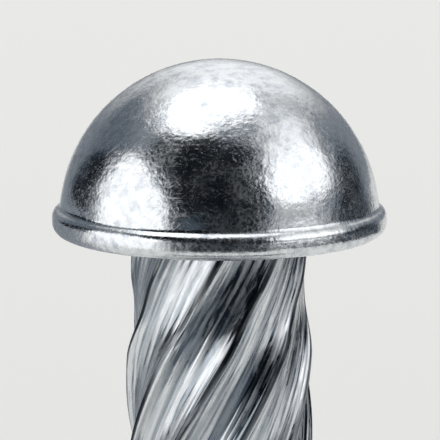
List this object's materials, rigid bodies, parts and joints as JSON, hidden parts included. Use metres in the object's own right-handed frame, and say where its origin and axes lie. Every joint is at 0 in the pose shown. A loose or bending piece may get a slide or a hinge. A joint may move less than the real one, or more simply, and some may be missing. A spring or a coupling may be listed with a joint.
{
  "type": "drive rivet",
  "caption": "Round headed drive rivet with a beaded rim, a shank of steep helical flutes and a plain round pilot end, for hammering into a drilled hole.",
  "frame": {"origin": "on the shank's axis, in the plane of the head's flat bearing face", "axes": "+Z along the axis towards the crown of the dome, so the shank points down; the turn about Z is free but for the flutes"},
  "size_m": [0.011, 0.0108, 0.0184],
  "materials": {
    "zinc_plated_steel": "bright zinc plate, mirror like, with small handling dents"
  },
  "bodies": {
    "root": {"drive_rivet": "zinc_plated_steel"}
  },
  "joints": []
}
